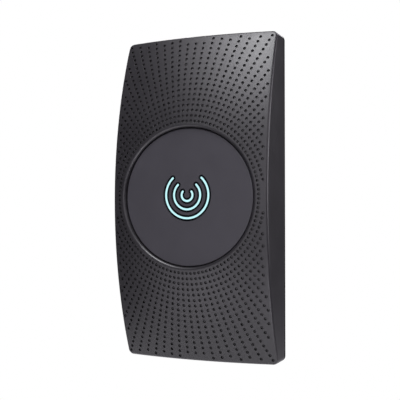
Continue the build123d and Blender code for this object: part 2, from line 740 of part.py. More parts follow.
def wall_plate():
    """Plate behind the reader: ribbed land, openings, two hinge horns and the lock tab."""
    body = plate(PLATE_HALF_WIDTH, PLATE_BOTTOM, PLATE_TOP, PLATE_CORNER, GASKET_THICK, PLATE_FRONT)
    body += plate(LAND_HALF_WIDTH, LAND_BOTTOM, LAND_TOP, LAND_CORNER, 0, PLATE_FRONT)
    body -= plate_pockets()
    body -= plate_openings()
    for x in (-HOOK_X, HOOK_X):
        body += horn(x)
    tab = slab(-TAB_HALF_WIDTH, TAB_HALF_WIDTH, GASKET_THICK, TAB_FRONT, TAB_LOW, TAB_HIGH)
    body += fillet(tab.edges().filter_by(Axis.Z).group_by(Axis.Y)[0], TAB_ROUND)
    return body - Pos(0, -LOCK_DEPTH, TAB_LOW) * Cylinder(INSERT_RADIUS, 3 * (TAB_HIGH - TAB_LOW))


def wall_gasket():
    """Foam frame round the plate's land, thinner where the reader's top edge swings in."""
    low, high = -HEIGHT / 2, HEIGHT / 2
    body = plate(WIDTH / 2, low, high, CORNER, 0, GASKET_THICK)
    body -= slab(-WIDTH, WIDTH, GASKET_TOP_THICK, GASKET_THICK + CLEAR, PLATE_TOP + FIT_GAP, HEIGHT)
    return body - plate(LAND_HALF_WIDTH + FIT_GAP, LAND_BOTTOM - FIT_GAP, LAND_TOP + FIT_GAP,
                        LAND_CORNER, -CLEAR, GASKET_THICK + CLEAR)


SUB_PARTS = {
    "front_cover": front_cover,
    "reading_disc": reading_disc,
    "light_guide": light_guide,
    "diffuser_film": diffuser_film,
    "light_shield": light_shield,
    "antenna_former": antenna_former,
    "antenna_coil": antenna_coil,
    "main_board": main_board,
    "indicator_leds": indicator_leds,
    "controller_chip": controller_chip,
    "radio_chip": radio_chip,
    "chip_leads": chip_lead_set,
    "crystal": crystal,
    "filter_capacitors": filter_capacitors,
    "voltage_regulator": voltage_regulator,
    "chip_passives": chip_passives,
    "buzzer": buzzer,
    "wire_header": wire_header,
    "header_pins": header_pins,
    "board_screws": board_screws,
    "cover_screws": cover_screws,
    "back_cover": back_cover,
    "cover_seal": cover_seal,
    "cable_grommet": cable_grommet,
    "tamper_switch": tamper_switch,
    "tamper_plunger": tamper_plunger,
    "tamper_spring": tamper_spring,
    "lock_insert": lock_insert,
    "lock_screw": lock_screw,
    "wall_plate": wall_plate,
    "wall_gasket": wall_gasket,
}

os.makedirs("parts", exist_ok=True)
for name, build in SUB_PARTS.items():
    export_step(build(), f"parts/{name}.step")
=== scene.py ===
import bmesh
import bpy
import json
from math import atan2, ceil, cos, hypot, pi, radians, sin, sqrt
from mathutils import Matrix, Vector
from mathutils.geometry import delaunay_2d_cdt


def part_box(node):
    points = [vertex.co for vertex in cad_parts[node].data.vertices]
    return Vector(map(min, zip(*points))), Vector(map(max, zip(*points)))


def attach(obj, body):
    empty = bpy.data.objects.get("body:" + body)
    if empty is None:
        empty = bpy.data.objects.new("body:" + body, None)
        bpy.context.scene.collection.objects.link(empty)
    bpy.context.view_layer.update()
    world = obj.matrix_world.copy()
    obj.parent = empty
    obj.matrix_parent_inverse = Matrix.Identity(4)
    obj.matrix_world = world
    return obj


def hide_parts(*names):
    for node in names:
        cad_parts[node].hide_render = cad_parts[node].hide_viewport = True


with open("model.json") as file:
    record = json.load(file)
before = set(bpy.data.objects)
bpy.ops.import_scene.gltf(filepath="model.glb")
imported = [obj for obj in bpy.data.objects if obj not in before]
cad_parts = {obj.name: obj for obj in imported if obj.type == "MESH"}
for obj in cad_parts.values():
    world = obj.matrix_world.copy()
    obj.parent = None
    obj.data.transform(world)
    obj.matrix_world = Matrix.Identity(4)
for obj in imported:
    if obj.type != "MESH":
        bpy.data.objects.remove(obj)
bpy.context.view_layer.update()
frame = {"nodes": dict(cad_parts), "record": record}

nodes = frame["nodes"]
MM = 0.001

# ---------------------------------------------------------------- sizes read from the frame
_, cover_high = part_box("front_cover")
_, disc_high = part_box("reading_disc")
HALF_WIDTH = cover_high[0]
HALF_HEIGHT = cover_high[2]
RIM_Y = cover_high[1]
DISC_RADIUS = disc_high[0]
DISC_BACK = disc_high[1]
screw_low, screw_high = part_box("lock_screw")
LOCK_X = (screw_low[0] + screw_high[0]) / 2
LOCK_Y = (screw_low[1] + screw_high[1]) / 2
LOCK_REACH = 2.5 * MM
GUIDE_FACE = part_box("light_guide")[0][1]
GUIDE_DARK = GUIDE_FACE + 0.06 * MM
GUIDE_LIT = GUIDE_FACE + 0.03 * MM

# ---------------------------------------------------------------- shape of the domed front, in metres
DOME_RADIUS = 151.5 * MM
DOME_APEX = 22.1 * MM
DOME_Y = DOME_RADIUS - DOME_APEX
DOME_CENTRE = Vector((0, DOME_Y, 0))
CORNER = 2.0 * MM
EDGE_ROUND = 1.0 * MM
SEAT_GAP = 0.3 * MM
SEAT_RADIUS = DISC_RADIUS + SEAT_GAP
LIP_ROUND = 0.9 * MM

# How finely the skin is cut
OUTLINE_STEP = 1.2 * MM
ARC_STEPS = 8
LIP_FACTOR = 2
SHARP_ANGLE = radians(30)

# Surface pits: rays and rings about a centre beside the disc's
PIT_RAYS = 110
PIT_CENTRE_X = -0.1 * MM
PIT_FIRST_RING = 26.2 * MM
PIT_RING_STEP = 1.89 * MM
PIT_RINGS = 24
PIT_RADIUS = 0.55 * MM
PIT_DEPTH = 0.70 * MM
PIT_SIDES = 12
PIT_MARGIN = 0.02 * MM
PIT_EDGE_WEAR = 0.35
PIT_FLOOR_SHADE = 0.0
# Each row of a pit: share of its radius, share of its depth, painted shade (how far the row's colour is
# painted near-black)
PIT_PROFILE = ((0.94, 0.20, 1.0), (0.86, 0.85, 1.0), (0.70, 0.97, 0.3))

NEAR = 0.005 * MM
WELD = 1e-7

# Triangulation in millimetres: how near two points may lie, and twice the least area of an edge triangle
FLAT_NEAR = 1e-5
FLAT_SLIVER = 1e-3

# The least length of the summed normals that tells which way a face looks
CLEAR_GUIDE = 0.1


# ================================================================ front cover with its pits
def outline_core(x, z):
    """Nearest point of the rectangle that the outline's corners are rounded about."""
    half_x = HALF_WIDTH - CORNER
    half_z = HALF_HEIGHT - CORNER
    return max(-half_x, min(half_x, x)), max(-half_z, min(half_z, z))


def outline_distance(x, z):
    """How far a point of the XZ plane lies inside the outline."""
    half_x = abs(x) - (HALF_WIDTH - CORNER)
    half_z = abs(z) - (HALF_HEIGHT - CORNER)
    outside = hypot(max(half_x, 0.0), max(half_z, 0.0))
    return CORNER - outside - min(max(half_x, half_z), 0.0)


def outline_normal(x, z):
    """Outward direction of the outline at one of its points."""
    if abs(z) < HALF_HEIGHT - CORNER - NEAR or abs(x) > HALF_WIDTH - NEAR:
        return Vector((1 if x > 0 else -1, 0, 0))
    if abs(x) < HALF_WIDTH - CORNER - NEAR or abs(z) > HALF_HEIGHT - NEAR:
        return Vector((0, 0, 1 if z > 0 else -1))
    core_x, core_z = outline_core(x, z)
    return Vector((x - core_x, 0, z - core_z)).normalized()


def on_dome(x, z):
    """Point of the domed front."""
    return Vector((x, DOME_Y - sqrt(DOME_RADIUS ** 2 - x * x - z * z), z))


def is_rim(v):
    """True on the rear rim of the cover."""
    return abs(v.co.y - RIM_Y) < NEAR and abs(outline_distance(v.co.x, v.co.z)) < NEAR


def is_seat_foot(v):
    """True where the seat's wall meets the shelf behind the disc."""
    return abs(v.co.y - DISC_BACK) < NEAR and abs(hypot(v.co.x, v.co.z) - SEAT_RADIUS) < NEAR


def is_lock_hole(v):
    """True round the lock screw's hole in the bottom wall."""
    return abs(v.co.z + HALF_HEIGHT) < NEAR and hypot(v.co.x - LOCK_X, v.co.y - LOCK_Y) < LOCK_REACH


def strip_outer_skin(bm):
    """Takes off the CAD cover's outer skin, from the dome to the rear rim, seat's foot and lock hole."""
    fences = (is_rim, is_seat_foot, is_lock_hole)
    first = max(bm.faces, key=lambda f: (f.calc_center_median() - DOME_CENTRE).length)
    found = {first}
    queue = [first]
    while queue:
        for edge in queue.pop().edges:
            if any(test(edge.verts[0]) and test(edge.verts[1]) for test in fences):
                continue
            for face in edge.link_faces:
                if face not in found:
                    found.add(face)
                    queue.append(face)
    bmesh.ops.delete(bm, geom=list(found), context="FACES")


def loop_of(bm, test, key):
    """Boundary points that pass a test, in order."""
    found = [v for v in bm.verts if any(e.is_boundary for e in v.link_edges) and test(v)]
    return sorted(found, key=key)


def split_rim(bm):
    """Cuts the long straight edges of the rim, so the skin's rows meet it point to point."""
    long_edges = [e for e in bm.edges if e.is_boundary and is_rim(e.verts[0]) and is_rim(e.verts[1])
                  and e.calc_length() > 2 * OUTLINE_STEP]
    for edge in long_edges:
        cuts = ceil(edge.calc_length() / OUTLINE_STEP) - 1
        bmesh.ops.subdivide_edges(bm, edges=[edge], cuts=cuts)


def turned(a, b, t):
    """Direction a part of the way round from a to b."""
    angle = a.angle(b)
    return (a * sin((1 - t) * angle) + b * sin(t * angle)) / sin(angle)


class Skin:
    """Collects the new faces, and each point's normal, wear and painted shade."""

    def __init__(self, bm):
        self.bm = bm
        self.normal = {}
        self.worn = {}
        self.sunk = {}
        self.faces = []

    def point(self, place, normal=None, worn=0.0, sunk=0.0):
        v = self.bm.verts.new(place)
        if normal is not None:
            self.normal[v] = normal
        self.worn[v] = worn
        self.sunk[v] = sunk
        return v

    def face(self, *corners):
        self.faces.append(self.bm.faces.new(corners))

    def strips(self, rows):
        """Quads between closed rows of points."""
        for low, high in zip(rows, rows[1:]):
            count = len(low)
            for i in range(count):
                j = (i + 1) % count
                self.face(low[i], low[j], high[j], high[i])


def edge_rows(skin, rim):
    """Rows of points from the rim up the side walls and over the rounded front edge."""
    rows = [rim] + [[] for _ in range(ARC_STEPS + 1)]
    for v in rim:
        outward = outline_normal(v.co.x, v.co.z)
        ball = Vector((v.co.x, 0, v.co.z)) - outward * EDGE_ROUND
        ball.y = DOME_Y - sqrt((DOME_RADIUS - EDGE_ROUND) ** 2 - ball.x ** 2 - ball.z ** 2)
        forward = (ball - DOME_CENTRE).normalized()
        skin.normal[v] = outward
        for k in range(ARC_STEPS + 1):
            way = turned(outward, forward, k / ARC_STEPS)
            worn = sin(pi * k / ARC_STEPS)
            rows[k + 1].append(skin.point(ball + way * EDGE_ROUND, way, worn))
    return rows


def is_bottom_pair(a, b):
    """True for two neighbours on the straight part of the bottom edge."""
    return abs(a.co.z + HALF_HEIGHT) < NEAR and abs(b.co.z + HALF_HEIGHT) < NEAR


def side_walls(skin, rim, upper, hole):
    """Side walls as quads, and the bottom one, which has the lock hole, as a filled outline."""
    count = len(rim)
    for i in range(count):
        j = (i + 1) % count
        if not is_bottom_pair(rim[i], rim[j]):
            skin.face(rim[i], rim[j], upper[j], upper[i])
    low = sorted((v for v in rim if abs(v.co.z + HALF_HEIGHT) < NEAR), key=lambda v: v.co.x)
    high = sorted((v for v in upper if abs(v.co.z + HALF_HEIGHT) < NEAR), key=lambda v: -v.co.x)
    border = low + high
    points = border + hole
    flat = [Vector((v.co.x, v.co.y)) / MM for v in points]
    n, m = len(border), len(hole)
    edges = [(i, (i + 1) % n) for i in range(n)] + [(n + i, n + (i + 1) % m) for i in range(m)]
    _, _, faces, origin, _, _ = delaunay_2d_cdt(flat, edges, [], 0, FLAT_NEAR)
    for face in faces:
        corners = [origin[k][0] for k in face]
        inside_hole = all(k >= n for k in corners)
        middle = sum((flat[k] for k in corners), Vector((0, 0))) / 3
        if not inside_hole and in_polygon(middle, flat[:n]):
            skin.face(*[points[k] for k in corners])
    down = Vector((0, 0, -1))
    for v in hole:
        skin.normal[v] = down


def in_polygon(p, polygon):
    """Even-odd test."""
    inside = False
    for a, b in zip(polygon, polygon[1:] + polygon[:1]):
        if (a.y > p.y) != (b.y > p.y) and p.x < (b.x - a.x) * (p.y - a.y) / (b.y - a.y) + a.x:
            inside = not inside
    return inside


def lip_rows(skin, foot):
    """Rows of points from the seat's foot up its wall and over the rounded lip."""
    reach = SEAT_RADIUS + LIP_ROUND
    ball_y = DOME_Y - sqrt((DOME_RADIUS - LIP_ROUND) ** 2 - reach ** 2)
    count = len(foot) * LIP_FACTOR
    start = atan2(foot[0].co.z, foot[0].co.x)
    rows = [[] for _ in range(ARC_STEPS + 1)]
    for i in range(count):
        angle = start + 2 * pi * i / count
        outward = Vector((cos(angle), 0, sin(angle)))
        ball = outward * reach + Vector((0, ball_y, 0))
        forward = (ball - DOME_CENTRE).normalized()
        for k in range(ARC_STEPS + 1):
            way = turned(-outward, forward, k / ARC_STEPS)
            rows[k].append(skin.point(ball + way * LIP_ROUND, way, sin(pi * k / ARC_STEPS)))
    for i, v in enumerate(foot):
        skin.normal[v] = Vector((-v.co.x, 0, -v.co.z)).normalized()
        ahead = foot[(i + 1) % len(foot)]
        top = [rows[0][(i * LIP_FACTOR + k) % count] for k in range(LIP_FACTOR + 1)]
        half = (LIP_FACTOR + 1) // 2
        for k in range(LIP_FACTOR):
            skin.face(v if k < half else ahead, top[k], top[k + 1])
        skin.face(v, top[half], ahead)
    return rows


def edge_inset(x, z):
    """How far inside the outline the rounded edge ends, beside a point."""
    near_end = HALF_HEIGHT - abs(z) < HALF_WIDTH - abs(x)
    slope = (HALF_HEIGHT if near_end else HALF_WIDTH) / DOME_RADIUS
    return EDGE_ROUND * (1 - slope)


def pit_places():
    """X and Z of the pits, clear of the rounded edge."""
    places = []
    for ray in range(PIT_RAYS):
        angle = 2 * pi * ray / PIT_RAYS
        for j in range(PIT_RINGS + 1):
            reach = PIT_FIRST_RING + j * PIT_RING_STEP
            x, z = PIT_CENTRE_X + reach * sin(angle), reach * cos(angle)
            if outline_distance(x, z) > PIT_RADIUS + edge_inset(x, z) + PIT_MARGIN:
                places.append((x, z))
    return places


def pit_rows(skin, x, z):
    """One pit, set straight back as the mould draws: its edge on the dome, a wall and a shallow bowl; the
    wall's rows carry painted shade.
    """
    middle = on_dome(x, z)
    edge = []
    for i in range(PIT_SIDES):
        angle = 2 * pi * i / PIT_SIDES
        p = on_dome(x + PIT_RADIUS * cos(angle), z + PIT_RADIUS * sin(angle))
        edge.append(skin.point(p, (p - DOME_CENTRE).normalized(), PIT_EDGE_WEAR))
    rows = [edge]
    # The last number of each row is painted shade: how far the row's colour is painted near-black
    for share, depth, shade in PIT_PROFILE:
        sink = Vector((0, PIT_DEPTH * depth, 0))
        rows.append([skin.point(middle + (v.co - middle) * share + sink, sunk=shade) for v in edge])
    skin.strips(rows)
    bottom = skin.point(middle + Vector((0, PIT_DEPTH, 0)), sunk=PIT_FLOOR_SHADE)
    last = rows[-1]
    for i in range(PIT_SIDES):
        skin.face(last[i], last[(i + 1) % PIT_SIDES], bottom)
    return edge


def dome_patch(skin, border, lip):
    """The domed front between its rounded edge, the lip and the pits."""
    loops = [border, lip] + [pit_rows(skin, x, z) for x, z in pit_places()]
    points = []
    edges = []
    owner = []
    for number, loop in enumerate(loops):
        base, count = len(points), len(loop)
        points += loop
        owner += [number] * count
        edges += [(base + i, base + (i + 1) % count) for i in range(count)]
    flat = [Vector((v.co.x, v.co.z)) / MM for v in points]
    _, _, faces, origin, _, _ = delaunay_2d_cdt(flat, edges, [], 0, FLAT_NEAR)
    for face in faces:
        corners = [origin[k][0] for k in face]
        owners = {owner[k] for k in corners}
        if len(owners) == 1 and 0 not in owners:
            continue
        if owners == {0}:
            a, b, c = (flat[k] for k in corners)
            if abs((b - a).cross(c - a)) < FLAT_SLIVER:
                continue
        skin.face(*[points[k] for k in corners])


def turn_of(v):
    """Angle of a point about the disc's axis."""
    return atan2(v.co.z, v.co.x)


def build_skin(bm):
    """Replaces the outer skin by a fine one."""
    strip_outer_skin(bm)
    split_rim(bm)
    skin = Skin(bm)
    rim = loop_of(bm, is_rim, turn_of)
    foot = loop_of(bm, is_seat_foot, turn_of)
    hole = loop_of(bm, is_lock_hole, turn_of)
    middle_y = sum(v.co.y for v in hole) / len(hole)
    hole.sort(key=lambda v: atan2(v.co.y - middle_y, v.co.x))

    edge = edge_rows(skin, rim)
    side_walls(skin, rim, edge[1], hole)
    skin.strips(edge[1:])
    lip = lip_rows(skin, foot)
    skin.strips(lip)
    dome_patch(skin, edge[-1], lip[-1])
    return skin


def turn_faces_out(bm, skin):
    """Flips the new faces that look inwards."""
    bm.normal_update()
    for face in skin.faces:
        guide = sum((skin.normal.get(v, Vector()) for v in face.verts), Vector())
        if guide.length > CLEAR_GUIDE:
            if face.normal.dot(guide) < 0:
                face.normal_flip()
        elif face.normal.dot(face.calc_center_median() - DOME_CENTRE) < 0:
            face.normal_flip()
    bm.normal_update()


def skin_mesh(bm, skin):
    """Mesh with smooth shading, the skin's own normals, and its wear and painted shade as corner attributes.
    """
    new_faces = set(skin.faces)
    for e in bm.edges:
        both_new = all(f in new_faces for f in e.link_faces)
        e.smooth = both_new or (len(e.link_faces) == 2 and e.calc_face_angle() < SHARP_ANGLE)
    normals = []
    masks = {"worn": [], "sunk": []}
    for face in bm.faces:
        face.smooth = True
        fresh = face in new_faces
        for corner in face.loops:
            normals.append(skin.normal.get(corner.vert, Vector()) if fresh else Vector())
            masks["worn"].append(skin.worn.get(corner.vert, 0.0) if fresh else 0.0)
            masks["sunk"].append(skin.sunk.get(corner.vert, 0.0) if fresh else 0.0)
    mesh = bpy.data.meshes.new("front_cover_skin")
    bm.to_mesh(mesh)
    mesh.normals_split_custom_set([tuple(n) for n in normals])
    for mask, values in masks.items():
        mesh.attributes.new(mask, "FLOAT", "CORNER").data.foreach_set("value", values)
    return mesh


def front_cover():
    """The front cover with a fine skin: same inside as the CAD cover, rounded edges and pits outside."""
    bm = bmesh.new()
    bm.from_mesh(nodes["front_cover"].data)
    bmesh.ops.remove_doubles(bm, verts=bm.verts, dist=WELD)
    skin = build_skin(bm)
    turn_faces_out(bm, skin)
    mesh = skin_mesh(bm, skin)
    bm.free()
    piece = bpy.data.objects.new("front_cover_skin", mesh)
    bpy.context.scene.collection.objects.link(piece)
    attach(piece, "reader")
    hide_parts("front_cover")
    return piece


# ================================================================ finishes
# A wave texture of this scale has one band to the metre
WAVE_SCALE = 0.314

# Cosine between true and rounded normal: where the edge mask starts, and where it is full
EDGE_TURN = (0.98, 0.80)


class Finish:
    """A procedural material. Sizes are in millimetres."""

    def __init__(self, name, roughness=0.5, metallic=0.0, **shader):
        self.material = bpy.data.materials.new(name)
        self.material.use_nodes = True
        self.tree = self.material.node_tree
        self.shader = self.tree.nodes["Principled BSDF"]
        self.shader.inputs["Roughness"].default_value = roughness
        self.shader.inputs["Metallic"].default_value = metallic
        for socket, value in shader.items():
            self.shader.inputs[socket.replace("_", " ")].default_value = value
        self.place = self.add("ShaderNodeTexCoord").outputs["Object"]

    def add(self, kind, **settings):
        node = self.tree.nodes.new(kind)
        for key, value in settings.items():
            setattr(node, key, value)
        return node

    def feed(self, socket, value):
        """Links a socket, or sets its value."""
        if isinstance(value, bpy.types.NodeSocket):
            self.tree.links.new(value, socket)
        else:
            socket.default_value = value

    def noise(self, size, detail=2.0, rough=0.5, stretch=None):
        node = self.add("ShaderNodeTexNoise")
        node.inputs["Scale"].default_value = 1 / (size * MM)
        node.inputs["Detail"].default_value = detail
        node.inputs["Roughness"].default_value = rough
        self.feed(node.inputs["Vector"], self.stretched(stretch) if stretch else self.place)
        return node.outputs["Fac"]

    def stretched(self, factors):
        node = self.add("ShaderNodeMapping")
        self.feed(node.inputs["Vector"], self.place)
        node.inputs["Scale"].default_value = factors
        return node.outputs["Vector"]

    def cells(self, size, feature="F1"):
        node = self.add("ShaderNodeTexVoronoi", feature=feature)
        node.inputs["Scale"].default_value = 1 / (size * MM)
        self.feed(node.inputs["Vector"], self.place)
        return node.outputs["Distance"]

    def bands(self, size, direction="X", kind="BANDS", rings="Y"):
        node = self.add("ShaderNodeTexWave", wave_type=kind, bands_direction=direction, rings_direction=rings)
        node.inputs["Scale"].default_value = WAVE_SCALE / (size * MM)
        self.feed(node.inputs["Vector"], self.place)
        return node.outputs["Fac"]

    def spread(self, value, low, high, to_low=0.0, to_high=1.0):
        node = self.add("ShaderNodeMapRange")
        self.feed(node.inputs["Value"], value)
        ends = {"From Min": low, "From Max": high, "To Min": to_low, "To Max": to_high}
        for socket, number in ends.items():
            node.inputs[socket].default_value = number
        return node.outputs["Result"]

    def math(self, operation, a, b=0.0):
        node = self.add("ShaderNodeMath", operation=operation)
        self.feed(node.inputs[0], a)
        self.feed(node.inputs[1], b)
        return node.outputs["Value"]

    def mix(self, factor, a, b):
        node = self.add("ShaderNodeMix", data_type="RGBA")
        self.feed(node.inputs[0], factor)
        self.feed(node.inputs[6], a if isinstance(a, bpy.types.NodeSocket) else (*a, 1))
        self.feed(node.inputs[7], b if isinstance(b, bpy.types.NodeSocket) else (*b, 1))
        return node.outputs[2]

    def edges(self, radius):
        """1 on edges, 0 on flats."""
        round_normal = self.add("ShaderNodeBevel", samples=4)
        round_normal.inputs["Radius"].default_value = radius * MM
        flat = self.add("ShaderNodeNewGeometry").outputs["Normal"]
        dot = self.add("ShaderNodeVectorMath", operation="DOT_PRODUCT")
        self.feed(dot.inputs[0], round_normal.outputs["Normal"])
        self.feed(dot.inputs[1], flat)
        return self.spread(dot.outputs["Value"], *EDGE_TURN)

    def along(self, axis):
        """Place along one axis, in metres."""
        node = self.add("ShaderNodeSeparateXYZ")
        self.feed(node.inputs[0], self.place)
        return node.outputs[axis]

    def attribute(self, name):
        return self.add("ShaderNodeAttribute", attribute_name=name).outputs["Fac"]

    def bump(self, *layers):
        """Stacks (height, depth in mm) layers into the surface normal."""
        normal = None
        for height, depth in layers:
            node = self.add("ShaderNodeBump")
            node.inputs["Strength"].default_value = 1.0
            node.inputs["Distance"].default_value = depth * MM
            self.feed(node.inputs["Height"], height)
            if normal is not None:
                self.feed(node.inputs["Normal"], normal)
            normal = node.outputs["Normal"]
        self.feed(self.shader.inputs["Normal"], normal)

    def colour(self, value):
        self.feed(self.shader.inputs["Base Color"], value)

    def roughness(self, value):
        self.feed(self.shader.inputs["Roughness"], value)


def scaled(colour, factor):
    """A lighter or darker colour."""
    return tuple(min(1.0, c * factor) for c in colour)


def moulded(name, colour, roughness, grain=0.16, depth=0.006, masked=False, rub=1.35, polish=0.05):
    """Moulded plastic: spark-eroded texture, flow marks, rubbed edges. A masked mesh marks its own edges."""
    f = Finish(name, Specular_IOR_Level=0.5)
    blotch = f.noise(9.0, 4.0, 0.6)
    fleck = f.noise(0.35, 3.0, 0.6)
    tone = f.mix(f.spread(blotch, 0.3, 0.7), scaled(colour, 0.94), scaled(colour, 1.06))
    tone = f.mix(f.spread(fleck, 0.35, 0.75, 0.0, 0.35), tone, scaled(colour, 1.18))
    edge = f.attribute("worn") if masked else f.edges(0.25)
    rubbed = f.math("MULTIPLY", edge, f.spread(f.noise(2.2, 5.0, 0.7), 0.42, 0.72))
    f.colour(f.mix(rubbed, tone, scaled(colour, rub)))
    smooth = f.spread(blotch, 0.25, 0.75, roughness - 0.03, roughness + 0.03)
    shiny = f.math("ADD", f.math("MULTIPLY", rubbed, polish), f.math("MULTIPLY", edge, polish))
    f.roughness(f.math("SUBTRACT", smooth, shiny))
    f.bump((f.noise(2.5, 2.0), depth * 1.5), (f.noise(grain, 3.0, 0.65), depth))
    return f


def finish_cover():
    """Satin cover, with shade painted almost black down in the pits."""
    f = moulded("cover_moulded", (0.015, 0.014, 0.016), 0.44, masked=True, rub=1.3, polish=0.08)
    # Painted shade: the pits' walls are painted near-black and made rougher, to look as dark as shade in the
    # pits
    shade = f.spread(f.attribute("sunk"), 0.05, 0.9)
    tone = f.shader.inputs["Base Color"].links[0].from_socket
    f.colour(f.mix(shade, tone, (0.001, 0.001, 0.001)))
    rough = f.shader.inputs["Roughness"].links[0].from_socket
    f.roughness(f.math("MAXIMUM", rough, f.math("MULTIPLY", shade, 0.85)))
    return f


def finish_disc():
    """Finer and lighter plastic of the reading disc."""
    return moulded("disc_satin", (0.028, 0.0265, 0.032), 0.5, grain=0.12, depth=0.003, rub=1.2)


def finish_guide():
    """Clear strips lit from behind on their front faces. The carrier round them is masked in black."""
    f = Finish("guide_lit", 0.28, Emission_Strength=1.0)
    haze = f.spread(f.noise(1.4, 3.0, 0.6), 0.3, 0.7)
    face = f.spread(f.along("Y"), GUIDE_DARK, GUIDE_LIT)
    f.colour(f.mix(face, (0.002, 0.008, 0.012), (0.10, 0.20, 0.21)))
    glow = f.mix(haze, (0.42, 0.68, 0.69), (0.50, 0.80, 0.81))
    f.feed(f.shader.inputs["Emission Color"], f.mix(face, (0.0, 0.0, 0.0), glow))
    f.bump((f.noise(0.3, 2.0), 0.004))
    return f


def finish_sheet(name, colour, roughness, depth=0.004):
    """Thin milky sheet."""
    f = Finish(name, roughness)
    cloud = f.noise(3.0, 4.0, 0.6)
    f.colour(f.mix(f.spread(cloud, 0.3, 0.7), scaled(colour, 0.9), scaled(colour, 1.05)))
    f.roughness(f.spread(cloud, 0.3, 0.7, roughness - 0.06, roughness + 0.06))
    f.bump((f.noise(0.4, 3.0), depth))
    return f


def finish_metal(name, colour, roughness, grain=(1, 1, 12), scratch=0.003):
    """Plated or drawn metal with fine lines, smudges and brighter edges."""
    f = Finish(name, roughness, 1.0)
    lines = f.noise(0.6, 4.0, 0.7, stretch=grain)
    smudge = f.noise(2.5, 4.0, 0.65)
    tone = f.mix(f.spread(smudge, 0.35, 0.7), scaled(colour, 0.82), colour)
    f.colour(f.mix(f.edges(0.12), tone, scaled(colour, 1.2)))
    f.roughness(f.math("ADD", f.spread(lines, 0.3, 0.7, roughness - 0.07, roughness + 0.07),
                       f.spread(smudge, 0.4, 0.7, 0.0, 0.08)))
    f.bump((lines, scratch))
    return f


def finish_copper():
    """Enamelled wire, seen as a stack of turns round the coil, with shade painted into the grooves between
    turns.
    """
    f = Finish("copper_winding", 0.3, 0.85, Coat_Weight=0.6, Coat_Roughness=0.15)
    turns = f.bands(0.22, kind="RINGS", rings="Y")
    tone = f.mix(f.spread(f.noise(4.0, 3.0), 0.3, 0.7), (0.42, 0.15, 0.06), (0.62, 0.27, 0.12))
    # The dark lines between the turns are painted shade in the grooves between the wires
    f.colour(f.mix(f.spread(turns, 0.0, 0.35), (0.10, 0.03, 0.015), tone))
    f.bump((turns, 0.05))
    return f


def finish_board():
    """Solder mask over copper tracks and a ground pour, with a fine weave under it."""
    f = Finish("solder_mask", 0.32, Coat_Weight=0.5, Coat_Roughness=0.12)
    tracks = f.spread(f.cells(3.4, "DISTANCE_TO_EDGE"), 0.035, 0.055)
    weave = f.math("MULTIPLY", f.bands(0.5, "X"), f.bands(0.5, "Z"))
    base = f.mix(tracks, (0.010, 0.110, 0.060), (0.004, 0.055, 0.030))
    tone = f.mix(f.spread(weave, 0.0, 1.0, 0.0, 0.25), base, (0.02, 0.15, 0.08))
    f.colour(f.mix(f.edges(0.2), tone, (0.45, 0.42, 0.25)))
    f.roughness(f.spread(f.noise(6.0, 3.0), 0.3, 0.7, 0.26, 0.38))
    f.bump((tracks, -0.03), (weave, 0.006))
    return f


def finish_foam():
    """Closed-cell foam: small cells cut through by the knife, with shade painted darker down in the cells."""
    f = Finish("cell_foam", 0.95, Specular_IOR_Level=0.15)
    cell = f.cells(0.55)
    fine = f.cells(0.25)
    # Painted shade: the colour darkens where the cells are cut deeper
    depth = f.math("MINIMUM", f.spread(cell, 0.15, 0.55), f.spread(fine, 0.1, 0.6))
    f.colour(f.mix(depth, (0.009, 0.009, 0.010), (0.003, 0.003, 0.003)))
    f.bump((cell, -0.12), (fine, -0.05))
    return f


def finish_rubber():
    """Soft black rubber with a dusty bloom."""
    f = Finish("soft_rubber", 0.7)
    bloom = f.spread(f.noise(3.0, 5.0, 0.7), 0.45, 0.75)
    f.colour(f.mix(bloom, (0.012, 0.012, 0.013), (0.030, 0.029, 0.028)))
    f.roughness(f.spread(bloom, 0, 1, 0.62, 0.82))
    f.bump((f.noise(0.3, 3.0, 0.6), 0.012))
    return f


FINISHES = {
    "cover_plastic": finish_cover,
    "disc_plastic": finish_disc,
    "guide_plastic": finish_guide,
    "film_plastic": lambda: finish_sheet("milky_film", (0.85, 0.88, 0.88), 0.35),
    "white_plastic": lambda: moulded("white_moulded", (0.78, 0.78, 0.76), 0.4, rub=1.1),
    "former_plastic": lambda: moulded("former_moulded", (0.07, 0.07, 0.075), 0.45),
    "copper": finish_copper,
    "board": finish_board,
    "led_body": lambda: finish_sheet("led_moulded", (0.80, 0.80, 0.66), 0.22),
    "chip_black": lambda: moulded("chip_epoxy", (0.018, 0.018, 0.020), 0.55, grain=0.08, depth=0.008),
    "tin": lambda: finish_metal("tin_plate", (0.66, 0.65, 0.62), 0.34),
    "can_metal": lambda: finish_metal("drawn_can", (0.72, 0.72, 0.73), 0.3),
    "ceramic_grey": lambda: moulded("fired_ceramic", (0.30, 0.23, 0.16), 0.5, grain=0.05, depth=0.006),
    "header_plastic": lambda: moulded("natural_nylon", (0.74, 0.69, 0.58), 0.45, rub=1.1),
    "steel": lambda: finish_metal("zinc_plate", (0.55, 0.56, 0.58), 0.32),
    "spring_steel": lambda: finish_metal("drawn_wire", (0.50, 0.50, 0.51), 0.3, grain=(8, 1, 8)),
    "brass": lambda: finish_metal("turned_brass", (0.72, 0.50, 0.20), 0.3),
    "rubber": finish_rubber,
    "foam": finish_foam,
    "plate_plastic": lambda: moulded("plate_moulded", (0.036, 0.036, 0.038), 0.5, grain=0.25, depth=0.012),
    "plunger_plastic": lambda: moulded("natural_acetal", (0.76, 0.75, 0.70), 0.35, rub=1.08),
}


# Rounding of the CAD nodes' edges, in mm
SOFT_EDGES = {
    "reading_disc": 0.05,
    "light_guide": 0.05,
    "back_cover": 0.15,
    "wall_plate": 0.15,
    "cable_grommet": 0.15,
}
SOFT_STEPS = 2
SOFT_ANGLE = radians(40)


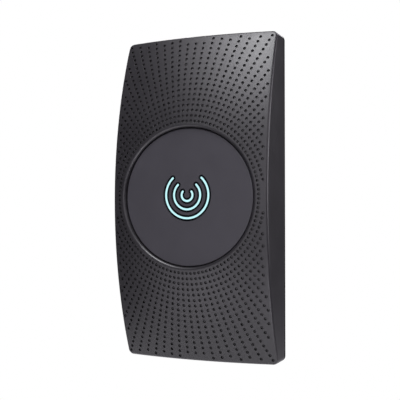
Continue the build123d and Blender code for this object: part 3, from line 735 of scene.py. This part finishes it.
def slot_of(node):
    """Material slot that the record gives a node."""
    parts = frame["record"]["subparts"]
    return next(part["material_slot"] for part in parts if part["node"] == node)


def soften_edges(piece, width):
    """Small rounded edges, so that edges catch the light."""
    bevel = piece.modifiers.new("soft_edges", "BEVEL")
    bevel.width = width * MM
    bevel.segments = SOFT_STEPS
    bevel.limit_method = "ANGLE"
    bevel.angle_limit = SOFT_ANGLE
    bevel.harden_normals = False


# ================================================================ studio
def light(name, place, power, colour):
    """Square soft light that looks at the reader's middle."""
    lamp = bpy.data.lights.new(name, "AREA")
    lamp.shape = "RECTANGLE"
    lamp.size = LAMP_SIZE
    lamp.size_y = LAMP_SIZE
    lamp.energy = power
    lamp.color = colour
    obj = bpy.data.objects.new(name, lamp)
    obj.location = place
    obj.rotation_mode = "QUATERNION"
    obj.rotation_quaternion = (-place).to_track_quat("-Z", "Y")
    bpy.context.scene.collection.objects.link(obj)


def around(azimuth, height, distance):
    """Point at a distance from the reader: azimuth 0 is in front and to the right is positive, in degrees."""
    a, e = radians(azimuth), radians(height)
    return Vector((sin(a) * cos(e), -cos(a) * cos(e), sin(e))) * distance


# Soft lights: name, azimuth and height in degrees, power in watts
LAMPS = (
    ("key", 10, 60, 1.45),
    ("top", 0, 75, 0.32),
    ("front", 0, 45, 0.47),
    ("front_low", 15, 5, 0.32),
    ("left_high", -30, 60, 0.15),
    ("left_low", -20, -30, 0.38),
    ("right_low", 30, -40, 0.92),
    ("right_side", 110, 10, 0.76),
    ("right_back", 140, 50, 0.48),
    ("right_under", 150, -30, 0.10),
    ("right_front", 65, 20, 0.22),
    ("left_back", -140, 20, 0.80),
    ("back", -165, 20, 1.00),
)
LAMP_DISTANCE = 0.42
LAMP_SIZE = 0.20
KEY_TINT = (0.985, 1.0, 1.01)
FILL_TINT = (1.0, 0.965, 1.045)

# The room: white where the camera sees past the object, and dim where it lights the object
ROOM_WHITE = (1, 1, 1, 1)
ROOM_DIM = (0.9, 0.92, 1.0, 1)
ROOM_LIGHT = 0.01

# The camera looks at the reader's middle from 22.9 degrees to the right and 1.4 degrees below, 0.283 m away
CAMERA_PLACE = Vector((0.1100, -0.2604, -0.00686))
CAMERA_LENS = 69.3
CAMERA_SENSOR = 36
CAMERA_SHIFT_X = -0.0233
CAMERA_SHIFT_Y = -0.0043
CAMERA_NEAR = 0.01

# The floor, in metres: half its side, its depth under the reader, and where it starts and ends fading
FLOOR_HALF = 3.0
FLOOR_DROP = 0.06
FLOOR_FADE = (0.10, 0.18)


def room(scene):
    """Surroundings: a white world for camera rays, a dim one for all others."""
    world = bpy.data.worlds.new("pale_room")
    scene.world = world
    world.use_nodes = True
    tree = world.node_tree
    back = tree.nodes["Background"]
    back.inputs["Color"].default_value = ROOM_WHITE
    back.inputs["Strength"].default_value = 1.0
    dim = tree.nodes.new("ShaderNodeBackground")
    dim.inputs["Color"].default_value = ROOM_DIM
    dim.inputs["Strength"].default_value = ROOM_LIGHT
    path = tree.nodes.new("ShaderNodeLightPath")
    mix = tree.nodes.new("ShaderNodeMixShader")
    tree.links.new(path.outputs["Is Camera Ray"], mix.inputs[0])
    tree.links.new(dim.outputs[0], mix.inputs[1])
    tree.links.new(back.outputs[0], mix.inputs[2])
    tree.links.new(mix.outputs[0], tree.nodes["World Output"].inputs["Surface"])


def add_camera(scene):
    """The camera, at the angle of the main view."""
    camera = bpy.data.cameras.new("camera")
    camera.lens = CAMERA_LENS
    camera.sensor_width = CAMERA_SENSOR
    camera.shift_x = CAMERA_SHIFT_X
    camera.shift_y = CAMERA_SHIFT_Y
    camera.clip_start = CAMERA_NEAR
    obj = bpy.data.objects.new("camera", camera)
    obj.location = CAMERA_PLACE
    obj.rotation_mode = "QUATERNION"
    obj.rotation_quaternion = (-CAMERA_PLACE).to_track_quat("-Z", "Y")
    scene.collection.objects.link(obj)
    scene.camera = obj


def studio():
    """Pale surroundings, soft lights and the camera."""
    scene = bpy.context.scene
    room(scene)
    for name, azimuth, height, power in LAMPS:
        tint = KEY_TINT if name == "key" else FILL_TINT
        light(name, around(azimuth, height, LAMP_DISTANCE), power, tint)
    add_camera(scene)
    scene.view_settings.view_transform = "Standard"


def floor():
    """Pale floor well below the reader, fading into the surroundings."""
    bm = bmesh.new()
    level = -HALF_HEIGHT - FLOOR_DROP
    square = ((-1, -1), (1, -1), (1, 1), (-1, 1))
    corners = [bm.verts.new((x * FLOOR_HALF, y * FLOOR_HALF, level)) for x, y in square]
    bm.faces.new(corners)
    mesh = bpy.data.meshes.new("floor")
    bm.to_mesh(mesh)
    bm.free()
    obj = bpy.data.objects.new("floor", mesh)
    bpy.context.scene.collection.objects.link(obj)
    f = Finish("pale_floor", 0.7)
    away = f.add("ShaderNodeVectorMath", operation="LENGTH")
    f.feed(away.inputs[0], f.stretched((1, 1, 0)))
    f.feed(f.shader.inputs["Alpha"], f.spread(away.outputs["Value"], *FLOOR_FADE, 1.0, 0.0))
    f.colour(f.mix(f.spread(f.noise(40.0, 3.0), 0.3, 0.7), (0.88, 0.88, 0.88), (0.92, 0.92, 0.92)))
    f.bump((f.noise(2.0, 3.0), 0.02))
    obj.data.materials.append(f.material)


# ================================================================ the object
made = {}
for name, piece in nodes.items():
    slot = slot_of(name)
    if slot not in made:
        made[slot] = FINISHES[slot]()
    piece.data.materials.clear()
    piece.data.materials.append(made[slot].material)

cover = front_cover()
cover.data.materials.append(made["cover_plastic"].material)

for name, width in SOFT_EDGES.items():
    soften_edges(nodes[name], width)

floor()
studio()
